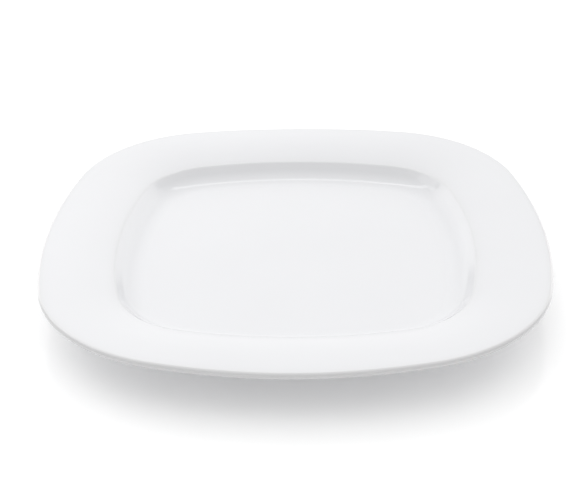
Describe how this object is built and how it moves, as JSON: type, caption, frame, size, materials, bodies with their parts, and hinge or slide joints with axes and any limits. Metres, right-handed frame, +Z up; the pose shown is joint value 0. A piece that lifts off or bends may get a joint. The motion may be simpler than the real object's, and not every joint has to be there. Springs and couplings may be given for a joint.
{
  "type": "square charger plate",
  "caption": "Square charger plate with bowed sides, rounded corners, a wide rising rim, a shallow flat well and a low foot ring.",
  "frame": {"origin": "centre of the plate on the plane that its foot ring stands on", "axes": "+Z up out of the well, +X and +Y towards the middles of two sides"},
  "size_m": [0.31, 0.31, 0.0283],
  "materials": {
    "bare_porcelain": "matt, unglazed",
    "white_glaze": "high gloss"
  },
  "bodies": {
    "root": {"porcelain_body": "bare_porcelain", "outer_glaze": "white_glaze", "base_glaze": "white_glaze"}
  },
  "joints": []
}
